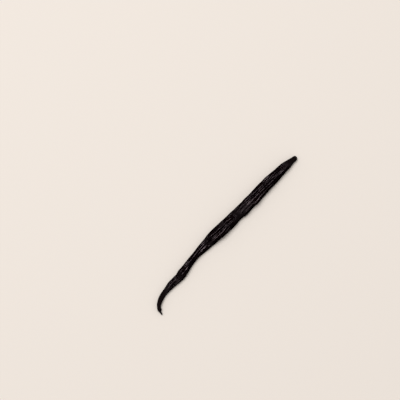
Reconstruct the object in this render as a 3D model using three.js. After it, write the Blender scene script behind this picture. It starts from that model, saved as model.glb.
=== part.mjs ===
// A cured vanilla pod, lying on its flatter side.
//
// The pod is one solid. A grid of rows and columns, closed at both poles, is laid along a middle
// line that turns by a few named bends. Each row takes its width and height from named stations,
// and is then pushed in along the folds into which the skin shrank as it dried.
//
// Lengths are in millimetres and angles in degrees, with +Z up. +X runs from the torn stem end to
// the blossom end, and the origin is under the middle of the pod, on the surface it lies on.
// Stations are distances along the middle line from the stem end.

import * as THREE from 'three';
import { mergeVertices } from 'three/addons/utils/BufferGeometryUtils.js';

const { clamp, degToRad, lerp, smoothstep } = THREE.MathUtils;

// ---- Driving sizes ----

const LENGTH = 168.5; // along the middle line
const STEM_HEADING = 78; // of the middle line at the stem end, from +X towards +Y

// Each bend turns the middle line by an angle, spread over a length about its station.
const BENDS = [
  { name: 'stem hook', at: 5.5, turn: -58, over: 12 },
  { name: 'hook easing', at: 15, turn: -21, over: 9 },
  { name: 'below the knuckle', at: 28, turn: -3, over: 9 },
  { name: 'above the knuckle', at: 40, turn: 7.5, over: 11 },
  { name: 'neck', at: 57, turn: -6.5, over: 12 },
  { name: 'above the neck', at: 70, turn: -4.5, over: 16 },
  { name: 'belly', at: 103, turn: 4, over: 12 },
  { name: 'below the shoulder', at: 138, turn: -3, over: 16 },
  { name: 'blossom end', at: 161.5, turn: -6, over: 9 },
];

// The pod's full width across the surface it lies on, and its height.
const GIRTHS = [
  { at: 0, wide: 1.2, tall: 1.2 }, // torn stem
  { at: 2.3, wide: 1.5, tall: 1.4 },
  { at: 3.9, wide: 2.8, tall: 2.4 }, // where the flesh was torn off
  { at: 7, wide: 3.3, tall: 2.8 },
  { at: 12, wide: 4.2, tall: 3.3 },
  { at: 20, wide: 4.9, tall: 3.8 },
  { at: 27, wide: 5.9, tall: 4.2 },
  { at: 34, wide: 6.7, tall: 4.7 },
  { at: 39, wide: 7.1, tall: 5.0 }, // knuckle
  { at: 46, wide: 6.6, tall: 4.9 },
  { at: 55, wide: 6.4, tall: 4.9 }, // neck
  { at: 62, wide: 7.4, tall: 5.2 },
  { at: 70, wide: 8.8, tall: 5.8 },
  { at: 78, wide: 9.9, tall: 6.4 },
  { at: 86, wide: 10.8, tall: 6.8 }, // belly
  { at: 96, wide: 10.3, tall: 6.9 },
  { at: 108, wide: 10.8, tall: 7.0 },
  { at: 114, wide: 10.4, tall: 6.9 },
  { at: 120, wide: 10.6, tall: 6.9 },
  { at: 129, wide: 9.9, tall: 6.7 },
  { at: 139, wide: 9.9, tall: 6.5 },
  { at: 150, wide: 8.15, tall: 5.9 },
  { at: 157, wide: 6.9, tall: 5.1 }, // shoulder
  { at: 162.5, wide: 5.1, tall: 4.1 },
  { at: 166, wide: 4.3, tall: 3.6 }, // blossom scar
  { at: LENGTH, wide: 4.2, tall: 3.5 },
];
const WIDEST = 10.8;
const SQUARENESS = 2.4; // of the section: 2 is an ellipse, more is flatter on top and steeper beside

const STEM_CAP = 0.5; // length over which the torn end rounds off
const BLOSSOM_CAP = 2.1;
const STEM_LIFT = { height: 1.1, over: 26 }; // how far each end rises clear of the surface
const BLOSSOM_LIFT = { height: 0.7, over: 24 };
const FLAT_SINK = 0.42; // how far the pod's own weight has pressed it flat underneath

// Sides of the pod, as angles round it seen from the stem end.
const SIDE = { right: 0, rightFlank: 40, top: 90, upperLeft: 110, left: 180 };

// Places where the skin bulges out, or is dented where the rise is negative.
const SWELLINGS = [
  { name: 'torn flesh', at: 3.8, over: 0.8, side: SIDE.right, spread: 50, rise: 0.55 },
  { name: 'shank side', at: 27, over: 4, side: SIDE.left, spread: 50, rise: 0.45 },
  { name: 'shank hollow', at: 22, over: 8, side: SIDE.right, spread: 50, rise: -0.5 },
  { name: 'knuckle side', at: 35.5, over: 4.5, side: SIDE.right, spread: 50, rise: 0.6 },
  { name: 'knuckle ridge', at: 38.6, over: 2.4, side: SIDE.upperLeft, spread: 42, rise: 0.6 },
  { name: 'knuckle crease', at: 34.6, over: 1.4, side: SIDE.top, spread: 60, rise: -0.6 },
  { name: 'neck ridge', at: 52, over: 9, side: SIDE.upperLeft, spread: 26, rise: 0.4 },
  { name: 'neck hollow', at: 50, over: 8, side: SIDE.right, spread: 55, rise: -0.9 },
  { name: 'neck side', at: 46, over: 9, side: SIDE.left, spread: 50, rise: 0.4 },
  { name: 'neck slope', at: 61, over: 7, side: SIDE.rightFlank, spread: 30, rise: -0.4 },
  { name: 'neck dimple', at: 69.7, over: 2.8, side: SIDE.top, spread: 30, rise: -0.45 },
  { name: 'belly dent', at: 101.5, over: 4.5, side: SIDE.rightFlank, spread: 34, rise: -0.7 },
  { name: 'belly hollow', at: 102, over: 4, side: SIDE.right, spread: 50, rise: -1.1 },
  { name: 'belly swell', at: 119.5, over: 3.5, side: SIDE.right, spread: 50, rise: 0.5 },
  { name: 'belly slack', at: 119.5, over: 4, side: SIDE.left, spread: 50, rise: -0.4 },
];

// Smooth raised lines along the upper side, and creases where the rise is negative. Each runs so
// far to the left of the middle at its start and at its end.
const CRESTS = [
  { name: 'shank', from: 19, to: 33, left: [0.5, 0.2], rise: 0.3, width: 1.0 },
  { name: 'knuckle', from: 35.5, to: 43.5, left: [2.3, 1.5], rise: 0.35, width: 0.9 },
  { name: 'neck', from: 43, to: 69, left: [0.2, 1.1], rise: 0.3, width: 0.9 },
  { name: 'belly, left', from: 70, to: 90, left: [2.6, 1.1], rise: 0.3, width: 0.9 },
  { name: 'belly, right', from: 69, to: 88, left: [-2.3, -2.4], rise: 0.3, width: 0.85 },
  { name: 'waist', from: 89, to: 99, left: [2.0, 0.9], rise: 0.2, width: 0.8 },
  { name: 'past the dent', from: 104, to: 121, left: [2.3, -0.1], rise: 0.3, width: 0.8 },
  { name: 'shoulder, right', from: 117, to: 150, left: [-0.2, -1.4], rise: 0.3, width: 0.85 },
  { name: 'shoulder, left', from: 118, to: 137, left: [2.3, 1.9], rise: 0.25, width: 0.8 },
  { name: 'towards the scar', from: 138, to: 152, left: [1.3, 1.7], rise: 0.25, width: 0.8 },
  { name: 'belly crease', from: 73, to: 90, left: [0.3, -0.4], rise: -0.35, width: 0.6 },
  { name: 'waist crease', from: 88, to: 106, left: [-0.5, -0.7], rise: -0.4, width: 0.7 },
  { name: 'shoulder crease', from: 115, to: 150, left: [1.0, 0.2], rise: -0.35, width: 0.55 },
];
const CREST_FADE = 0.25; // share of a crest over which each of its ends dies out
const CREST_CALM = 0.75; // share of the folds that a crest smooths away

// ---- Folds of the skin ----

const FOLDS = 12; // ridges round the pod, each with a furrow on either side
const FURROW_DEPTH = 1.1; // where the pod is widest
const SPLIT_DEPTH = 0.5; // of the shallow furrow that splits a ridge in two
const CROWN_SHARE = 0.4; // of the folds' depth left on the crown, where the crests run
const FLANK_SHARE = 0.45; // on the flanks beside it
const UNDERSIDE_SHARE = 0.3; // and on the side that lies flat

// Where those parts blend, as shares of the pod's half width or half height from its middle.
const CROWN_LEAN = 0.12; // how far the crown lies to the left of the middle
const CROWN_EDGE = [0.45, 0.7];
const FLANK_START = [0.4, 0.62];
const FLANK_END = [0.93, 0.99];
const UNDERSIDE_EDGE = [0.2, 0.8];
const UPPER_EDGE = [0, 0.3];

// A wave runs round the pod a whole number of times and repeats along it every so many
// millimetres; from is its start, in turns. Sizes are in the unit of what the wave changes.
const FOLD_STRENGTH = 0.62;
const FOLD_STRENGTH_LIMITS = [0.45, 1.2];
const STRENGTH_WAVES = [
  { size: 0.3, around: 3, every: 47, from: 0.1 },
  { size: 0.24, around: 4, every: -29, from: 0.55 },
  { size: 0.14, around: 1, every: 17, from: 0.8 },
];
const SPLIT_WAVES = [
  { size: 0.7, around: 5, every: 39, from: 0.3 },
  { size: 0.5, around: 2, every: -24, from: 0.9 },
];
// The folds' sideways wandering, in turns round the pod.
const WANDER_WAVES = [
  { size: 0.008, around: 2, every: 61, from: 0.15 },
  { size: 0.006, around: 5, every: -33, from: 0.62 },
  { size: 0.008, around: 0, every: 120, from: 0.35 },
];
// Unevenness of the body, in and out, in millimetres where the pod is widest.
const LUMP_WAVES = [
  { size: 0.1, around: 2, every: -27, from: 0.05 },
  { size: 0.12, around: 3, every: 19, from: 0.7 },
  { size: 0.08, around: 4, every: -13, from: 0.3 },
];

// ---- Grid ----

const COLUMNS_PER_FOLD = 4;
const COLUMNS = FOLDS * COLUMNS_PER_FOLD;
const END_PITCH = 0.32; // between rows at the ends
const BODY_PITCH = 1.72; // and along the body
const END_REACH = 11; // over which the pitch grows from one to the other
const WALK_STEP = 0.1; // in working out the middle line

/** Adds up waves that run round and along the pod. */
function ripple(waves, turn, station) {
  const swing = (wave) => {
    const phase = wave.around * turn + station / wave.every + wave.from;
    return wave.size * Math.sin(2 * Math.PI * phase);
  };
  return waves.reduce((sum, wave) => sum + swing(wave), 0);
}

/** The stations of all rows from pole to pole, close together where the ends round off. */
function rowStations() {
  const stations = [0];
  let next = END_PITCH;
  while (next < LENGTH - END_PITCH / 2) {
    stations.push(next);
    const fromEnd = Math.min(next, LENGTH - next);
    next += lerp(END_PITCH, BODY_PITCH, smoothstep(fromEnd, 0, END_REACH));
  }
  stations.push(LENGTH);
  return stations;
}

/** The heading of the middle line at a station, in radians from +X towards +Y. */
function heading(station) {
  const turned = (bend) =>
    bend.turn * smoothstep(station, bend.at - bend.over / 2, bend.at + bend.over / 2);
  return degToRad(BENDS.reduce((sum, bend) => sum + turned(bend), STEM_HEADING));
}

/** Walks the middle line and returns its point in plan at each station. */
function middleLine(stations) {
  const point = new THREE.Vector2();
  let walked = 0;
  return stations.map((station) => {
    while (walked < station) {
      const step = Math.min(WALK_STEP, station - walked);
      const way = heading(walked + step / 2);
      point.x += step * Math.cos(way);
      point.y += step * Math.sin(way);
      walked += step;
    }
    return point.clone();
  });
}

const girthCurve = new THREE.CubicInterpolant(
  new Float32Array(GIRTHS.map((girth) => girth.at)),
  new Float32Array(GIRTHS.flatMap((girth) => [girth.wide, girth.tall])),
  2,
);

/** The half width and half height of the pod at a station, rounded off to nothing at each end. */
function halfGirth(station) {
  const [wide, tall] = girthCurve.evaluate(station);
  const fromStem = clamp(station / STEM_CAP, 0, 1);
  const fromBlossom = clamp((LENGTH - station) / BLOSSOM_CAP, 0, 1);
  const round = (share) => Math.sqrt(1 - (1 - share) ** 2);
  const cap = round(fromStem) * round(fromBlossom);
  return { wide: (wide / 2) * cap, tall: (tall / 2) * cap, middle: tall / 2 };
}

/** How far the ends rise clear of the surface at a station. */
function lift(station) {
  const stem = STEM_LIFT.height * (1 - smoothstep(station, 0, STEM_LIFT.over));
  const blossom = BLOSSOM_LIFT.height * smoothstep(station, LENGTH - BLOSSOM_LIFT.over, LENGTH);
  return stem + blossom;
}

/** The depth of the folds at one place: furrows between ridges, and shallow splits along them. */
function foldDepth(turn, station) {
  const acrossFold = Math.abs(Math.sin(Math.PI * FOLDS * turn));
  const acrossSplit = Math.abs(Math.cos(Math.PI * FOLDS * turn));
  const wave = FOLD_STRENGTH + ripple(STRENGTH_WAVES, turn, station);
  const strength = clamp(wave, ...FOLD_STRENGTH_LIMITS);
  const split = clamp(ripple(SPLIT_WAVES, turn, station), 0, 1);
  return FURROW_DEPTH * strength * (1 - acrossFold) + SPLIT_DEPTH * split * (1 - acrossSplit);
}

/** The share of the folds' depth that is left at one place round the pod. */
function foldShare(across, up) {
  const beside = Math.abs(across + CROWN_LEAN);
  const crown = (1 - smoothstep(beside, ...CROWN_EDGE)) * smoothstep(up, ...UPPER_EDGE);
  const rim = smoothstep(Math.abs(across), ...FLANK_END);
  const flank = smoothstep(beside, ...FLANK_START) * (1 - rim);
  const under = smoothstep(-up, ...UNDERSIDE_EDGE);
  return lerp(1, CROWN_SHARE, crown) * lerp(1, FLANK_SHARE, flank) * lerp(1, UNDERSIDE_SHARE, under);
}

/** How far the crests raise the upper side at one place, and how calm they keep it, from 0 to 1. */
function crestEffect(left, station) {
  let rise = 0;
  let calm = 0;
  for (const crest of CRESTS) {
    const share = (station - crest.from) / (crest.to - crest.from);
    const here = smoothstep(share, 0, CREST_FADE) * smoothstep(1 - share, 0, CREST_FADE);
    const off = (left - lerp(...crest.left, share)) / crest.width;
    rise += crest.rise * here * Math.exp(-(off ** 2));
    calm = Math.max(calm, crest.rise > 0 ? here * Math.exp(-(off ** 2) / 2) : 0);
  }
  return { rise, calm };
}

/** The rise or fall of all local swellings at one place. */
function swelling(angle, station) {
  const bump = ({ at, over, side, spread, rise }) => {
    const along = (station - at) / over;
    const round = Math.atan2(Math.sin(angle - degToRad(side)), Math.cos(angle - degToRad(side)));
    return rise * Math.exp(-(along ** 2) - (round / degToRad(spread)) ** 2);
  };
  return SWELLINGS.reduce((sum, place) => sum + bump(place), 0);
}

/** A power of the size of a number, with the number's own sign. */
function signedPower(value, exponent) {
  return Math.sign(value) * Math.abs(value) ** exponent;
}

/** The point of the skin at a turn round the pod and a station, given the middle line there. */
function skinPoint(turn, station, plan) {
  const angle = 2 * Math.PI * (turn + ripple(WANDER_WAVES, turn, station));
  const { wide, tall, middle } = halfGirth(station);
  const across = signedPower(Math.cos(angle), 2 / SQUARENESS);
  const up = signedPower(Math.sin(angle), 2 / SQUARENESS);

  const crest = up > 0 ? crestEffect(-across * wide, station) : { rise: 0, calm: 0 };
  const folds = foldShare(across, up) * (1 - CREST_CALM * crest.calm);
  const relief = ripple(LUMP_WAVES, turn, station) - folds * foldDepth(turn, station);
  const share = (2 * wide) / WIDEST; // relief is shallow where the pod is thin
  const rise = share * relief + crest.rise + (wide > 0 ? swelling(angle, station) : 0);
  const outward = new THREE.Vector2(
    signedPower(across, SQUARENESS - 1) * tall,
    signedPower(up, SQUARENESS - 1) * wide,
  ).normalize();

  const sideways = across * wide + outward.x * rise;
  const height = up * tall + outward.y * rise + middle + lift(station) - FLAT_SINK;
  const way = heading(station);
  return new THREE.Vector3(
    plan.x + sideways * Math.sin(way),
    plan.y - sideways * Math.cos(way),
    Math.max(height, 0),
  );
}

/** Lays a closed grid of rows and columns along the pod and shapes it into the pod's skin. */
function podGeometry() {
  const stations = rowStations();
  const plans = middleLine(stations);
  const lastRow = stations.length - 1;
  const geometry = new THREE.SphereGeometry(1, COLUMNS, lastRow);
  const position = geometry.attributes.position;

  for (let i = 0; i < position.count; i += 1) {
    const row = lastRow - Math.floor(i / (COLUMNS + 1)); // the grid starts at the blossom end
    const turn = 0.5 - (i % (COLUMNS + 1)) / COLUMNS;
    const skin = skinPoint(turn, stations[row], plans[row]);
    position.setXYZ(i, skin.x, skin.y, skin.z);
  }

  geometry.deleteAttribute('normal');
  geometry.deleteAttribute('uv');
  const closed = mergeVertices(geometry, 1e-4);
  closed.computeBoundingBox();
  const middle = closed.boundingBox.getCenter(new THREE.Vector3());
  closed.translate(-middle.x, -middle.y, -closed.boundingBox.min.z);
  closed.computeVertexNormals();
  return closed;
}

const skin = new THREE.MeshStandardMaterial({ color: 0x1d1516, roughness: 0.42, metalness: 0 });

const pod = new THREE.Mesh(podGeometry(), skin);
pod.name = 'pod';

const vanillaPod = new THREE.Group();
vanillaPod.name = 'vanilla_pod';
vanillaPod.add(pod);

export default vanillaPod;
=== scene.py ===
"""A cured vanilla pod on a pale floor, under soft studio light.

The pod is one closed skin. A sphere's grid, with a pole at each end of the pod, is laid along a
middle line that turns by a few named bends. Each ring takes its width and height from named
stations and is pushed in along the folds, wrinkles and puckers into which the skin shrank as it
dried. Lengths are in millimetres while the pod is shaped, and the finished mesh is in metres.
"""

import logging
import math
from dataclasses import dataclass
from enum import Enum
from typing import NamedTuple

import bmesh
import bpy
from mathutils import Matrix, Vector, noise

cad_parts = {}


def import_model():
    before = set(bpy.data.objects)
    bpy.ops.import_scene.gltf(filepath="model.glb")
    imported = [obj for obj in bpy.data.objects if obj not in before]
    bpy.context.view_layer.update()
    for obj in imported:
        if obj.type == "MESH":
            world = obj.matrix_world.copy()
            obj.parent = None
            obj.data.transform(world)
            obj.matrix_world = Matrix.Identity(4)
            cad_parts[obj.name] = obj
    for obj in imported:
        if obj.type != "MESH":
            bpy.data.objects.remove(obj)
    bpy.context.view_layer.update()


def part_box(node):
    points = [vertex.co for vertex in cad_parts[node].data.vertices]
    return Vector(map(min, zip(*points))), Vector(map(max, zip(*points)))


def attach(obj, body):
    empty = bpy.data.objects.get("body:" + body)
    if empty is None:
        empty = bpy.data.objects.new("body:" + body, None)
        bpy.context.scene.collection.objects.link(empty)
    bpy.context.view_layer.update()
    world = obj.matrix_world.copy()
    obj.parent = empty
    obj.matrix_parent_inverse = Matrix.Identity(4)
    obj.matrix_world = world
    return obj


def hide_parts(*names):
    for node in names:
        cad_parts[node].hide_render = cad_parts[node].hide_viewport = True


log = logging.getLogger("vanilla_pod")

MILLIMETRE = 0.001
TURN = 2 * math.pi

# A Mix node's sockets, by number, because its numbers and colours share their names.
SHARE_IN = 0
NUMBERS_IN = (2, 3)
COLOURS_IN = (6, 7)
NUMBER_OUT = 0
COLOUR_OUT = 2

Span = tuple[float, float]
Triple = tuple[float, float, float]


class Side(Enum):
    """A side of the pod, as an angle round it in degrees, seen from the stem end."""

    RIGHT = 0
    RIGHT_FLANK = 40
    TOP = 90
    UPPER_LEFT = 110
    LEFT = 180


class Bend(NamedTuple):
    """A turn of the middle line, in degrees to the left, spread over a length about its station."""

    name: str
    at: float
    turn: float
    over: float


class Girth(NamedTuple):
    """The pod's full width and height at a station."""

    at: float
    wide: float
    tall: float


class Swelling(NamedTuple):
    """A place where the skin bulges out, or is dented where its rise is negative."""

    name: str
    at: float
    over: float
    side: Side
    spread: float
    rise: float


class Crest(NamedTuple):
    """A smooth raised line along the upper side, or a crease where its rise is negative."""

    name: str
    start: float
    end: float
    start_left: float  # distance to the left of the middle where it starts
    end_left: float
    rise: float
    width: float


class DryPlace(NamedTuple):
    """A stretch of the pod that has dried further: duller, and more wrinkled."""

    name: str
    at: float
    over: float
    strength: float

    def share(self, station: float) -> float:
        """How dry it leaves the skin at a station, from 0 to 1."""
        return self.strength * math.exp(-(((station - self.at) / self.over) ** 2))


class Wave(NamedTuple):
    """A ripple that runs a whole number of times round the pod and repeats along it."""

    size: float
    around: int
    every: float
    start: float


def smoothstep(value: float, low: float, high: float) -> float:
    """Rises smoothly from 0 at low to 1 at high."""
    share = min(max((value - low) / (high - low), 0.0), 1.0)
    return share * share * (3 - 2 * share)


def clamp(value: float, low: float, high: float) -> float:
    """Keeps a value between two limits."""
    return min(max(value, low), high)


def lerp(low: float, high: float, share: float) -> float:
    """The value at a share of the way from low to high."""
    return low + (high - low) * share


def signed_power(value: float, exponent: float) -> float:
    """A power of the size of a number, with the number's own sign."""
    return math.copysign(abs(value) ** exponent, value)


def ripple(waves: tuple[Wave, ...], turn: float, station: float) -> float:
    """Adds up waves at one place.

    Args:
        waves: The waves to add.
        turn: Place round the pod, in turns.
        station: Place along the pod.

    Returns:
        The sum, in the unit of the waves' sizes.
    """
    return sum(
        wave.size * math.sin(TURN * (wave.around * turn + station / wave.every + wave.start))
        for wave in waves
    )


@dataclass(frozen=True)
class PodBody:
    """The pod without its wrinkles: its middle line, girths and the strip that it lies on."""

    length: float = 168.5
    stem_heading: float = 78
    bends: tuple[Bend, ...] = (
        Bend("stem hook", 5.5, -58, 12),
        Bend("hook easing", 15, -21, 9),
        Bend("below the knuckle", 28, -3, 9),
        Bend("above the knuckle", 40, 7.5, 11),
        Bend("neck", 57, -6.5, 12),
        Bend("above the neck", 70, -4.5, 16),
        Bend("belly", 103, 4, 12),
        Bend("below the shoulder", 138, -3, 16),
        Bend("blossom end", 161.5, -6, 9),
    )
    girths: tuple[Girth, ...] = (
        Girth(0, 1.2, 1.2),  # torn stem
        Girth(2.3, 1.5, 1.4),
        Girth(3.9, 2.8, 2.4),  # where the flesh was torn off
        Girth(7, 3.3, 2.8),
        Girth(12, 4.2, 3.3),
        Girth(20, 4.9, 3.8),
        Girth(27, 5.9, 4.2),
        Girth(34, 6.7, 4.7),
        Girth(39, 7.1, 5.0),  # knuckle
        Girth(46, 6.6, 4.9),
        Girth(55, 6.4, 4.9),  # neck
        Girth(62, 7.4, 5.2),
        Girth(70, 8.8, 5.8),
        Girth(78, 9.9, 6.4),
        Girth(86, 10.8, 6.8),  # belly
        Girth(96, 10.3, 6.9),
        Girth(108, 10.8, 7.0),
        Girth(114, 10.4, 6.9),
        Girth(120, 10.6, 6.9),
        Girth(129, 9.9, 6.7),
        Girth(139, 9.9, 6.5),
        Girth(150, 8.15, 5.9),
        Girth(157, 6.9, 5.1),  # shoulder
        Girth(162.5, 5.1, 4.1),
        Girth(166, 4.3, 3.6),  # blossom scar
        Girth(168.5, 4.2, 3.5),
    )
    widest: float = 10.8
    squareness: float = 2.4  # of the section: 2 is an ellipse
    stem_cap: float = 0.5
    blossom_cap: float = 2.1
    stem_lift: float = 1.1
    stem_lift_over: float = 26
    blossom_lift: float = 0.7
    blossom_lift_over: float = 24
    flat_sink: float = 0.42
    walk_step: float = 0.1

    def heading(self, station: float) -> float:
        """The middle line's heading at a station, in radians from +X towards +Y."""
        turned = sum(
            bend.turn * smoothstep(station, bend.at - bend.over / 2, bend.at + bend.over / 2)
            for bend in self.bends
        )
        return math.radians(self.stem_heading + turned)

    def middle_line(self, stations: list[float]) -> list[Vector]:
        """Walks the middle line.

        Args:
            stations: Rising distances from the stem end.

        Returns:
            The point in plan at each station.
        """
        point, walked, points = Vector((0.0, 0.0)), 0.0, []
        for station in stations:
            while walked < station:
                step = min(self.walk_step, station - walked)
                way = self.heading(walked + step / 2)
                point = point + step * Vector((math.cos(way), math.sin(way)))
                walked += step
            points.append(point)
        return points

    def slope(self, index: int) -> tuple[float, float]:
        """How fast width and height grow at a girth's station."""
        before = self.girths[max(index - 1, 0)]
        after = self.girths[min(index + 1, len(self.girths) - 1)]
        run = after.at - before.at
        return (after.wide - before.wide) / run, (after.tall - before.tall) / run

    def girth(self, station: float) -> tuple[float, float]:
        """Full width and height at a station, on a smooth curve through the named ones."""
        index = 0
        while index < len(self.girths) - 2 and station > self.girths[index + 1].at:
            index += 1
        low, high = self.girths[index], self.girths[index + 1]
        run = high.at - low.at
        share = (station - low.at) / run
        rise = share * share * (3 - 2 * share)
        leaving = share * (1 - share) ** 2 * run
        arriving = share * share * (share - 1) * run
        slopes = zip(self.slope(index), self.slope(index + 1))
        ends = zip((low.wide, low.tall), (high.wide, high.tall))
        wide, tall = (
            lerp(start, end, rise) + leaving * first + arriving * last
            for (start, end), (first, last) in zip(ends, slopes)
        )
        return wide, tall

    def rounding(self, station: float) -> float:
        """The share of the girth that is left where each end rounds off."""
        from_stem = clamp(station / self.stem_cap, 0, 1)
        from_blossom = clamp((self.length - station) / self.blossom_cap, 0, 1)
        return math.sqrt(1 - (1 - from_stem) ** 2) * math.sqrt(1 - (1 - from_blossom) ** 2)

    def lift(self, station: float) -> float:
        """How far the ends rise clear of the floor at a station."""
        stem = self.stem_lift * (1 - smoothstep(station, 0, self.stem_lift_over))
        start = self.length - self.blossom_lift_over
        return stem + self.blossom_lift * smoothstep(station, start, self.length)


@dataclass(frozen=True)
class Folds:
    """The lengthwise folds, the lumps and the named swellings of the skin."""

    count: int = 12
    furrow_depth: float = 1.1
    split_depth: float = 0.5
    strength: float = 0.62
    weakest: float = 0.45
    strongest: float = 1.2
    strength_waves: tuple[Wave, ...] = (
        Wave(0.3, 3, 47, 0.1),
        Wave(0.24, 4, -29, 0.55),
        Wave(0.14, 1, 17, 0.8),
    )
    split_waves: tuple[Wave, ...] = (Wave(0.7, 5, 39, 0.3), Wave(0.5, 2, -24, 0.9))
    wander_waves: tuple[Wave, ...] = (
        Wave(0.008, 2, 61, 0.15),
        Wave(0.006, 5, -33, 0.62),
        Wave(0.008, 0, 120, 0.35),
    )
    lump_waves: tuple[Wave, ...] = (
        Wave(0.1, 2, -27, 0.05),
        Wave(0.12, 3, 19, 0.7),
        Wave(0.08, 4, -13, 0.3),
    )
    swellings: tuple[Swelling, ...] = (
        Swelling("torn flesh", 3.8, 0.8, Side.RIGHT, 50, 0.55),
        Swelling("shank side", 27, 4, Side.LEFT, 50, 0.45),
        Swelling("shank hollow", 22, 8, Side.RIGHT, 50, -0.5),
        Swelling("knuckle side", 35.5, 4.5, Side.RIGHT, 50, 0.6),
        Swelling("knuckle ridge", 38.6, 2.4, Side.UPPER_LEFT, 42, 0.6),
        Swelling("knuckle crease", 34.6, 1.4, Side.TOP, 60, -0.6),
        Swelling("neck ridge", 52, 9, Side.UPPER_LEFT, 26, 0.4),
        Swelling("neck hollow", 50, 8, Side.RIGHT, 55, -0.9),
        Swelling("neck side", 46, 9, Side.LEFT, 50, 0.4),
        Swelling("neck dimple", 69.7, 2.8, Side.TOP, 30, -0.45),
        Swelling("neck slope", 61, 7, Side.RIGHT_FLANK, 30, -0.4),
        Swelling("belly dent", 101.5, 4.5, Side.RIGHT_FLANK, 34, -0.7),
        Swelling("belly hollow", 102, 4, Side.RIGHT, 50, -1.1),
        Swelling("belly swell", 119.5, 3.5, Side.RIGHT, 50, 0.5),
        Swelling("belly slack", 119.5, 4, Side.LEFT, 50, -0.4),
    )

    def wander(self, turn: float, station: float) -> float:
        """How far the folds have strayed sideways, in turns round the pod."""
        return ripple(self.wander_waves, turn, station)

    def lump(self, turn: float, station: float) -> float:
        """The broad unevenness of the body, in and out."""
        return ripple(self.lump_waves, turn, station)

    def depth(self, turn: float, station: float) -> float:
        """How deep the furrows between ridges, and the splits along them, are at one place."""
        fold = math.pi * self.count * turn
        wave = self.strength + ripple(self.strength_waves, turn, station)
        furrow_and_shade = self.furrow_depth * clamp(wave, self.weakest, self.strongest)
        split = self.split_depth * clamp(ripple(self.split_waves, turn, station), 0, 1)
        return furrow_and_shade * (1 - abs(math.sin(fold))) + split * (1 - abs(math.cos(fold)))

    def swelling(self, angle: float, station: float) -> float:
        """The rise or fall of all named swellings at one place."""
        rise = 0.0
        for place in self.swellings:
            along = (station - place.at) / place.over
            off = angle - math.radians(place.side.value)
            around = math.atan2(math.sin(off), math.cos(off)) / math.radians(place.spread)
            rise += place.rise * math.exp(-(along**2) - around**2)
        return rise


@dataclass(frozen=True)
class Wrinkle:
    """One grade of fine wrinkling, as rounded cells of noise with creases between them."""

    cells: float  # how finely it divides the pod's girth
    stretch: float  # length along the pod of one cell
    depth: float  # of a crease, where the pod is widest
    sharpness: float  # how narrow a crease is for its cell
    patches: float  # length over which it comes and goes
    seed: float
    usual: float = 0.75  # share of its depth, from which it comes and goes

    def at(self, turn: float, station: float) -> float:
        """The crease's depth at one place."""
        across, up = math.cos(TURN * turn), math.sin(TURN * turn)
        shift = Vector((self.seed, 0, 0))
        cell = Vector((across * self.cells, up * self.cells, station / self.stretch)) + shift
        patch = Vector((across, up, station / self.patches)) - shift
        crease = max(0.0, 1 - self.sharpness * abs(noise.noise(cell)))
        share = clamp(self.usual + noise.noise(patch), 0, 1)
        return self.depth * share * crease


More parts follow.
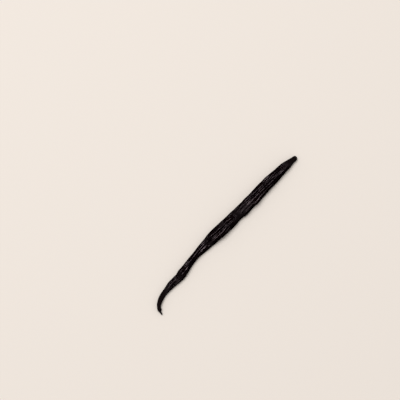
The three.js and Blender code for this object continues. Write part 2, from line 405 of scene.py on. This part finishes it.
@dataclass(frozen=True)
class PodSkin:
    """All relief of the skin: folds, wrinkles, and the flat side where it is pressed smooth."""

    folds: Folds = Folds()
    wrinkles: tuple[Wrinkle, ...] = (
        Wrinkle(cells=3.4, stretch=24, depth=0.26, sharpness=3.0, patches=23, seed=3.7),
        Wrinkle(cells=5.5, stretch=24, depth=0.1, sharpness=3.0, patches=11, seed=17.2),
        Wrinkle(cells=9.0, stretch=2.4, depth=0.05, sharpness=2.4, patches=7, seed=41.9),
    )
    crests: tuple[Crest, ...] = (
        Crest("shank", 19, 33, 0.5, 0.2, 0.3, 1.0),
        Crest("knuckle", 35.5, 43.5, 2.0, 1.4, 0.5, 0.9),
        Crest("neck", 43, 69, 0.2, 1.1, 0.3, 0.9),
        Crest("belly, left", 70, 90, 2.3, 0.9, 0.35, 0.9),
        Crest("belly, right", 69, 88, -2.4, -2.4, 0.35, 0.85),
        Crest("waist", 89, 99, 2.0, 0.9, 0.2, 0.8),
        Crest("past the dent", 104, 121, 3.1, 0.6, 0.25, 0.8),
        Crest("shoulder, right", 117, 150, -0.6, -2.1, 0.32, 0.85),
        Crest("shoulder, left", 118, 137, 2.3, 1.9, 0.25, 0.8),
        Crest("towards the scar", 138, 152, 1.3, 1.7, 0.25, 0.8),
        Crest("belly crease", 73, 90, 0.3, -0.4, -0.35, 0.6),
        Crest("waist crease", 88, 106, -0.5, -0.7, -0.4, 0.7),
        Crest("shoulder crease", 115, 150, 1.0, 0.2, -0.35, 0.55),
    )
    crest_fade: float = 0.25  # share of a crest over which each of its ends dies out
    crest_calm: float = 0.92  # share of the wrinkles that a crest smooths away
    dry_places: tuple[DryPlace, ...] = (
        DryPlace("below the knuckle", 34.6, 1.8, 1.0),
        DryPlace("neck dimple", 70.3, 1.8, 0.8),
        DryPlace("belly fold", 88.5, 1.5, 0.45),
        DryPlace("belly dent", 101.5, 3, 0.8),
        DryPlace("past the dent", 110, 3, 0.3),
    )
    pucker: float = 1.2  # how much more wrinkled the skin is where it is wholly dry
    end_share: float = 0.5  # of the wrinkles that is left at the hook and the scar
    ragged: float = 5.0  # how far the edge of a dull place strays along the pod
    ragged_cells: float = 2.2  # how finely that edge divides the pod's girth
    ragged_length: float = 14  # of pod that counts as much there as its half girth
    hook_end: Span = (16, 28)
    scar_start: Span = (155, 164)
    underside_share: float = 0.3
    crown_share: float = 0.4  # of the even folds that is left on the crown, where the crests run
    flank_share: float = 0.45  # of all relief that is left on the flanks beside it

    # Where those parts blend, as shares of the half width or half height from the middle.
    crown_lean: float = 0.12  # how far the crown lies to the left
    crown_edge: Span = (0.45, 0.7)
    flank_start: Span = (0.4, 0.62)
    flank_end: Span = (0.93, 0.99)
    underside_edge: Span = (0.2, 0.8)
    upper_edge: Span = (0, 0.3)
    brown_edge: Span = (0.5, 0.85)

    def crest(self, left: float, station: float) -> tuple[float, float]:
        """What the crests do at one place of the upper side.

        Args:
            left: Distance to the left of the middle line.
            station: Place along the pod.

        Returns:
            How far they raise the skin, and how calm they keep it, from 0 to 1.
        """
        rise, calm = 0.0, 0.0
        for crest in self.crests:
            share = (station - crest.start) / (crest.end - crest.start)
            here = smoothstep(share, 0, self.crest_fade) * smoothstep(1 - share, 0, self.crest_fade)
            off = (left - lerp(crest.start_left, crest.end_left, share)) / crest.width
            rise += crest.rise * here * math.exp(-(off**2))
            if crest.rise > 0:
                calm = max(calm, here * math.exp(-(off**2) / 2))
        return rise, calm

    def dryness(self, station: float) -> float:
        """How far the skin has lost its oil at a station between its ends, from 0 to 1."""
        return max(place.share(station) for place in self.dry_places)

    def dullness(self, turn: float, station: float) -> float:
        """How little the skin shines at one place, from 0 to 1, with a ragged edge."""
        across, up = math.cos(TURN * turn), math.sin(TURN * turn)
        cell = Vector((across, up, station / self.ragged_length)) * self.ragged_cells
        strayed = station + self.ragged * noise.noise(cell)
        return max(self.dryness(strayed), self.end(strayed))

    def warmth(self, across: float, station: float) -> float:
        """How brown the skin is at one place, from 0 on the crown of the belly to 1."""
        return max(self.end(station), smoothstep(abs(across), *self.brown_edge))

    def end(self, station: float) -> float:
        """How near a station is to the hook or the scar, from 0 to 1."""
        return max(
            1 - smoothstep(station, *self.hook_end), smoothstep(station, *self.scar_start)
        )

    def evenness(self, across: float, up: float) -> float:
        """The share of the even folds that is left at one place round the pod."""
        crown = 1 - smoothstep(abs(across + self.crown_lean), *self.crown_edge)
        return lerp(1, self.crown_share, crown * smoothstep(up, *self.upper_edge))

    def quiet(self, across: float, up: float, station: float) -> float:
        """The share of the relief that is left at one place, over 1 where it is puckered."""
        along = 1 + self.pucker * self.dryness(station)
        along *= lerp(1, self.end_share, self.end(station))
        flank = smoothstep(abs(across + self.crown_lean), *self.flank_start)
        flank *= 1 - smoothstep(abs(across), *self.flank_end)
        under = smoothstep(-up, *self.underside_edge)
        return along * lerp(1, self.flank_share, flank) * lerp(1, self.underside_share, under)


class Grain(NamedTuple):
    """A noise pattern on the straightened pod, in millimetres."""

    stretch: Triple  # across it, up it and along it
    scale: float
    detail: float


@dataclass(frozen=True)
class PodFinish:
    """Oily, near-black skin, with painted shade that darkens it down in its furrows, and browner at
    its rims and ends.
    """

    name: str = "cured_pod_skin"
    ridge: Triple = (0.0024, 0.0009, 0.0017)
    warm: Triple = (0.0042, 0.0014, 0.0008)
    # painted shade: the colour that the skin darkens to down in its furrows
    furrow_and_shade: Triple = (0.0014, 0.0003, 0.0005)
    stain: Triple = (0.007, 0.0028, 0.0026)
    stains: Grain = Grain((0.35, 0.35, 0.12), 1.0, 4.0)
    stain_edge: Span = (0.45, 0.75)  # of the noise, where a stain begins and is whole

    gloss: float = 0.9
    gloss_tint: Triple = (1.0, 0.79, 0.84)
    oily: float = 0.15  # roughness where the oil stands
    worn: float = 0.35  # roughness where it has worn thin
    dry: float = 1.0  # roughness where it is gone
    blotches: Grain = Grain((1.1, 1.1, 0.4), 1.0, 3.0)
    blotch_edge: Span = (0.35, 0.65)

    grain: Grain = Grain((2.4, 2.4, 0.42), 1.7, 5.0)
    pores: Grain = Grain((1.0, 1.0, 0.6), 9.0, 2.0)
    bump_depth: float = 0.015

    def build(self) -> bpy.types.Material:
        """Makes the material.

        Returns:
            A material that reads the skin's own "straight", "dull" and "warm" attributes, and the
            one for furrow depth, which darkens its colour down in the furrows as painted shade.
        """
        material = bpy.data.materials.new(self.name)
        material.use_nodes = True
        tree = material.node_tree
        shader = tree.nodes["Principled BSDF"]
        straight = self._attribute(tree, "straight")
        furrow_and_shade = self._attribute(tree, "furrow_and_shade")

        stains = self._noise(tree, straight, self.stains)
        warmth = self._attribute(tree, "warm").outputs["Fac"]
        plain = self._mix(tree, warmth, self.ridge, self.warm)
        stained = self._range(tree, stains, self.stain_edge, (0.0, 1.0))
        skin = self._mix(tree, stained, plain, self.stain)
        # painted shade: the deeper a point lies in a furrow, the nearer its colour comes to the
        # dark furrow colour
        colour = self._mix(tree, furrow_and_shade.outputs["Fac"], skin, self.furrow_and_shade)
        tree.links.new(colour, shader.inputs["Base Color"])

        blotches = self._noise(tree, straight, self.blotches)
        oiled = self._range(tree, blotches, self.blotch_edge, (self.oily, self.worn))
        dulled = self._attribute(tree, "dull").outputs["Fac"]
        tree.links.new(self._blend(tree, dulled, oiled, self.dry), shader.inputs["Roughness"])

        grain = self._noise(tree, straight, self.grain)
        pores = self._noise(tree, straight, self.pores)
        normal = self._bump(tree, grain, self.bump_depth, None)
        normal = self._bump(tree, pores, self.bump_depth, normal)
        tree.links.new(normal, shader.inputs["Normal"])
        shader.inputs["Specular IOR Level"].default_value = self.gloss
        shader.inputs["Specular Tint"].default_value = (*self.gloss_tint, 1.0)
        return material

    @staticmethod
    def _attribute(tree: bpy.types.NodeTree, name: str) -> bpy.types.Node:
        """A node that reads one of the mesh's attributes."""
        node = tree.nodes.new("ShaderNodeAttribute")
        node.attribute_name = name
        return node

    @staticmethod
    def _noise(
        tree: bpy.types.NodeTree, source: bpy.types.Node, grain: Grain
    ) -> bpy.types.NodeSocket:
        """Noise laid on the straightened pod."""
        mapping = tree.nodes.new("ShaderNodeMapping")
        mapping.inputs["Scale"].default_value = grain.stretch
        tree.links.new(source.outputs["Vector"], mapping.inputs["Vector"])
        texture = tree.nodes.new("ShaderNodeTexNoise")
        texture.inputs["Scale"].default_value = grain.scale
        texture.inputs["Detail"].default_value = grain.detail
        tree.links.new(mapping.outputs["Vector"], texture.inputs["Vector"])
        return texture.outputs["Fac"]

    @staticmethod
    def _range(
        tree: bpy.types.NodeTree,
        value: bpy.types.NodeSocket,
        before: Span,
        after: Span,
    ) -> bpy.types.NodeSocket:
        """A value brought from one range to another, and kept inside it."""
        node = tree.nodes.new("ShaderNodeMapRange")
        for name, number in zip(("From Min", "From Max", "To Min", "To Max"), before + after):
            node.inputs[name].default_value = number
        tree.links.new(value, node.inputs["Value"])
        return node.outputs["Result"]

    @staticmethod
    def _mix(
        tree: bpy.types.NodeTree,
        share: bpy.types.NodeSocket,
        first: Triple | bpy.types.NodeSocket,
        second: Triple | bpy.types.NodeSocket,
    ) -> bpy.types.NodeSocket:
        """A colour between two others."""
        node = tree.nodes.new("ShaderNodeMix")
        node.data_type = "RGBA"
        tree.links.new(share, node.inputs[SHARE_IN])
        for number, colour in zip(COLOURS_IN, (first, second)):
            if isinstance(colour, tuple):
                node.inputs[number].default_value = (*colour, 1.0)
            else:
                tree.links.new(colour, node.inputs[number])
        return node.outputs[COLOUR_OUT]

    @staticmethod
    def _blend(
        tree: bpy.types.NodeTree,
        share: bpy.types.NodeSocket,
        first: bpy.types.NodeSocket,
        second: float,
    ) -> bpy.types.NodeSocket:
        """A value between another value and a fixed number."""
        node = tree.nodes.new("ShaderNodeMix")
        first_in, second_in = NUMBERS_IN
        tree.links.new(share, node.inputs[SHARE_IN])
        tree.links.new(first, node.inputs[first_in])
        node.inputs[second_in].default_value = second
        return node.outputs[NUMBER_OUT]

    @staticmethod
    def _bump(
        tree: bpy.types.NodeTree,
        height: bpy.types.NodeSocket,
        depth: float,
        below: bpy.types.NodeSocket | None,
    ) -> bpy.types.NodeSocket:
        """Fine relief in the shading alone, on top of any below it; depth is in millimetres."""
        node = tree.nodes.new("ShaderNodeBump")
        node.inputs["Distance"].default_value = depth * MILLIMETRE
        tree.links.new(height, node.inputs["Height"])
        if below is not None:
            tree.links.new(below, node.inputs["Normal"])
        return node.outputs["Normal"]


@dataclass
class VanillaPod:
    """The pod, from its grid to its finished skin."""

    body: PodBody = PodBody()
    skin: PodSkin = PodSkin()
    finish: PodFinish = PodFinish()
    around: int = 168
    rows: int = 590
    end_share: float = 0.35  # of the even pitch between rows, at the very ends

    def stations(self) -> list[float]:
        """The stations of all rings, closer together where the ends round off."""
        squeeze = (1 - self.end_share) / TURN
        shares = (row / self.rows for row in range(self.rows + 1))
        return [
            self.body.length * (share - squeeze * math.sin(TURN * share)) for share in shares
        ]

    def build(self) -> bpy.types.Object:
        """Builds the pod's skin over its CAD solid.

        Returns:
            The finished pod, with its place in its mesh.
        """
        mesh = bmesh.new()
        bmesh.ops.create_uvsphere(mesh, u_segments=self.around, v_segments=self.rows, radius=1)
        self._shape(mesh)
        self._place(mesh)
        bmesh.ops.recalc_face_normals(mesh, faces=mesh.faces)
        for face in mesh.faces:
            face.smooth = True
        data = bpy.data.meshes.new("vanilla_pod")
        mesh.to_mesh(data)
        mesh.free()
        data.materials.append(self.finish.build())
        pod = bpy.data.objects.new("vanilla_pod", data)
        bpy.context.collection.objects.link(pod)
        return pod

    def _shape(self, mesh: bmesh.types.BMesh) -> None:
        """Moves each point of the sphere's grid to its place on the pod's skin."""
        straight = mesh.verts.layers.float_vector.new("straight")
        furrow_and_shade = mesh.verts.layers.float.new("furrow_and_shade")
        dull = mesh.verts.layers.float.new("dull")
        warm = mesh.verts.layers.float.new("warm")
        stations = self.stations()
        plans = self.body.middle_line(stations)
        radius = self.body.widest / 2
        for vert in mesh.verts:
            row = round(math.acos(clamp(-vert.co.z, -1, 1)) / math.pi * self.rows)
            turn = math.atan2(vert.co.y, vert.co.x) / TURN
            station = stations[row]
            point, depth = self._skin_point(turn, station, plans[row])
            vert[straight] = (
                radius * math.cos(TURN * turn),
                radius * math.sin(TURN * turn),
                station,
            )
            # how deep the point lies in the furrows, which the material paints as shade
            vert[furrow_and_shade] = depth
            vert[dull] = self.skin.dullness(turn, station)
            vert[warm] = self.skin.warmth(math.cos(TURN * turn), station)
            vert.co = point

    def _skin_point(self, turn: float, station: float, plan: Vector) -> tuple[Vector, float]:
        """Works out one point of the skin.

        Args:
            turn: Place round the pod, in turns from its right.
            station: Place along the pod.
            plan: The middle line's point at that station.

        Returns:
            The point, and how deep it lies down among the furrows, from 0 to 1, which the material
            turns into painted shade.
        """
        folds = self.skin.folds
        angle = TURN * (turn + folds.wander(turn, station))
        full_wide, full_tall = self.body.girth(station)
        cap = self.body.rounding(station)
        wide, tall = full_wide / 2 * cap, full_tall / 2 * cap
        bulk = self.body.squareness
        across = signed_power(math.cos(angle), 2 / bulk)
        up = signed_power(math.sin(angle), 2 / bulk)

        share = 2 * wide / self.body.widest
        raised, calm = self.skin.crest(-across * wide, station) if up > 0 else (0.0, 0.0)
        fine = sum(wrinkle.at(turn, station) for wrinkle in self.skin.wrinkles)
        fold = folds.depth(turn, station) * self.skin.evenness(across, up)
        depth = (fold + fine) * (1 - self.skin.crest_calm * calm)
        relief = folds.lump(turn, station) - self.skin.quiet(across, up, station) * depth
        bulge = folds.swelling(angle, station) if wide > 0 else 0.0
        rise = share * relief + bulge + raised
        outward = Vector(
            (signed_power(across, bulk - 1) * tall, signed_power(up, bulk - 1) * wide)
        ).normalized()

        sideways = across * wide + outward.x * rise
        lifted = full_tall / 2 + self.body.lift(station) - self.body.flat_sink
        height = up * tall + outward.y * rise + lifted
        way = self.body.heading(station)
        point = Vector(
            (
                plan.x + sideways * math.sin(way),
                plan.y - sideways * math.cos(way),
                max(height, 0.0),
            )
        )
        return point, clamp(depth / folds.furrow_depth, 0, 1)

    @staticmethod
    def _place(mesh: bmesh.types.BMesh) -> None:
        """Scales the pod to metres and sets it on its CAD solid."""
        bmesh.ops.scale(mesh, vec=Vector((MILLIMETRE,) * 3), verts=mesh.verts)
        low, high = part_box("pod")
        spans = [[vert.co[axis] for vert in mesh.verts] for axis in range(3)]
        middle = [(min(span) + max(span)) / 2 for span in spans]
        shift = Vector(
            (
                (low[0] + high[0]) / 2 - middle[0],
                (low[1] + high[1]) / 2 - middle[1],
                low[2] - min(spans[2]),
            )
        )
        bmesh.ops.translate(mesh, vec=shift, verts=mesh.verts)


@dataclass(frozen=True)
class Lamp:
    """A rectangular soft light that faces the pod."""

    name: str
    azimuth: float
    elevation: float
    distance: float
    length: float  # along the pod
    width: float
    power: float
    mirrored: bool = True  # whether the pod's gloss shows it

    def build(self, target: Vector) -> None:
        """Hangs the lamp."""
        data = bpy.data.lights.new(self.name, "AREA")
        data.shape = "RECTANGLE"
        data.energy = self.power
        data.size = self.length
        data.size_y = self.width
        lamp = bpy.data.objects.new(self.name, data)
        away = direction(self.azimuth, self.elevation)
        lamp.location = target + away * self.distance
        lamp.rotation_euler = away.to_track_quat("Z", "Y").to_euler()
        lamp.visible_glossy = self.mirrored
        bpy.context.collection.objects.link(lamp)


def direction(azimuth: float, elevation: float) -> Vector:
    """The way from the pod towards a lamp or camera.

    Args:
        azimuth: In degrees; 0 is on the -Y side and 90 on the +X side.
        elevation: In degrees above the floor.

    Returns:
        A unit vector.
    """
    around, above = math.radians(azimuth), math.radians(elevation)
    return Vector(
        (
            math.sin(around) * math.cos(above),
            -math.cos(around) * math.cos(above),
            math.sin(above),
        )
    )


@dataclass(frozen=True)
class Studio:
    """The pale floor, the soft lights and the camera."""

    aim: Triple = (0.00692, 0.03062, 0.0)
    camera_azimuth: float = -50.61
    camera_elevation: float = 77
    camera_distance: float = 1.0
    lens: float = 114.65
    floor_size: float = 6.0
    floor_colour: Triple = (0.80, 0.735, 0.675)
    floor_roughness: float = 0.9
    sky_colour: Triple = (1.0, 0.985, 0.97)
    sky_strength: float = 0.5
    lamps: tuple[Lamp, ...] = (
        Lamp("soft", 175, 70, distance=2.4, length=1.8, width=1.8, power=33, mirrored=False),
        Lamp("key", 150, 76, distance=2.4, length=1.2, width=0.3, power=7),
    )

    def build(self) -> None:
        """Sets up everything round the pod."""
        self._floor()
        self._sky()
        for lamp in self.lamps:
            lamp.build(Vector((0, 0, 0)))
        self._camera()
        bpy.context.scene.view_settings.view_transform = "Standard"

    def _floor(self) -> None:
        """Lays the pale floor at the height that the pod rests on."""
        mesh = bmesh.new()
        bmesh.ops.create_grid(mesh, x_segments=1, y_segments=1, size=self.floor_size / 2)
        data = bpy.data.meshes.new("floor")
        mesh.to_mesh(data)
        mesh.free()
        material = bpy.data.materials.new("pale_floor")
        material.use_nodes = True
        shader = material.node_tree.nodes["Principled BSDF"]
        shader.inputs["Base Color"].default_value = (*self.floor_colour, 1.0)
        shader.inputs["Roughness"].default_value = self.floor_roughness
        shader.inputs["Specular IOR Level"].default_value = 0.0
        data.materials.append(material)
        floor = bpy.data.objects.new("floor", data)
        floor.visible_glossy = False
        bpy.context.collection.objects.link(floor)

    def _sky(self) -> None:
        """Fills the studio with a little light from all round."""
        world = bpy.data.worlds.new("studio")
        bpy.context.scene.world = world
        world.use_nodes = True
        sky = world.node_tree.nodes["Background"]
        sky.inputs["Color"].default_value = (*self.sky_colour, 1.0)
        sky.inputs["Strength"].default_value = self.sky_strength
        world.cycles_visibility.glossy = False

    def _camera(self) -> None:
        """Sets the camera almost straight above the pod."""
        data = bpy.data.cameras.new("camera")
        data.lens = self.lens
        camera = bpy.data.objects.new("camera", data)
        away = direction(self.camera_azimuth, self.camera_elevation)
        camera.location = Vector(self.aim) + away * self.camera_distance
        camera.rotation_euler = away.to_track_quat("Z", "Y").to_euler()
        bpy.context.collection.objects.link(camera)
        bpy.context.scene.camera = camera


def main() -> None:
    """Builds the pod and its studio."""
    logging.basicConfig(level=logging.INFO)
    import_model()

    pod = VanillaPod().build()
    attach(pod, "root")
    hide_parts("pod")
    log.info("pod: %d faces", len(pod.data.polygons))

    Studio().build()
    log.info("studio: floor, lamps and camera")


if __name__ == "__main__":
    main()
